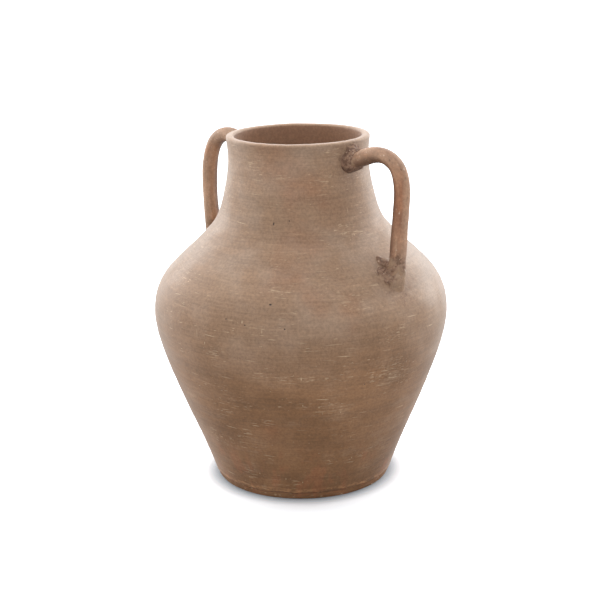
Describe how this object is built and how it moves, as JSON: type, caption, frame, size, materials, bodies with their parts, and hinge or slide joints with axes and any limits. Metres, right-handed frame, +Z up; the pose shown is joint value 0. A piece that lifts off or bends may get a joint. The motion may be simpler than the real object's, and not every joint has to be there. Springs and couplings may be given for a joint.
{
  "type": "amphora",
  "caption": "Two-handled terracotta amphora: wide straight mouth, short flared neck, full rounded shoulder, tapering lower body on a flat floor slab, rod handles from neck to shoulder.",
  "frame": {"origin": "centre of the flat underside of the floor slab, on the pot's turning axis", "axes": "+Z up along the turning axis, out of the mouth; +X towards the right handle, so both handles lie in the XZ plane; +Y across them"},
  "size_m": [0.3384, 0.3385, 0.4],
  "materials": {
    "body_clay": "matte unglazed terracotta, grey-brown, wheel-smoothed",
    "foot_clay": "matte unglazed terracotta, darker and rubbed at the edge",
    "handle_clay": "unglazed terracotta, warmer, lightly burnished",
    "luting_clay": "rough smeared clay slip"
  },
  "bodies": {
    "root": {"base_slab": "foot_clay", "lower_body": "body_clay", "upper_body": "body_clay", "right_handle": "handle_clay", "left_handle": "handle_clay", "right_neck_luting": "luting_clay", "right_shoulder_luting": "luting_clay", "left_neck_luting": "luting_clay", "left_shoulder_luting": "luting_clay"}
  },
  "joints": []
}
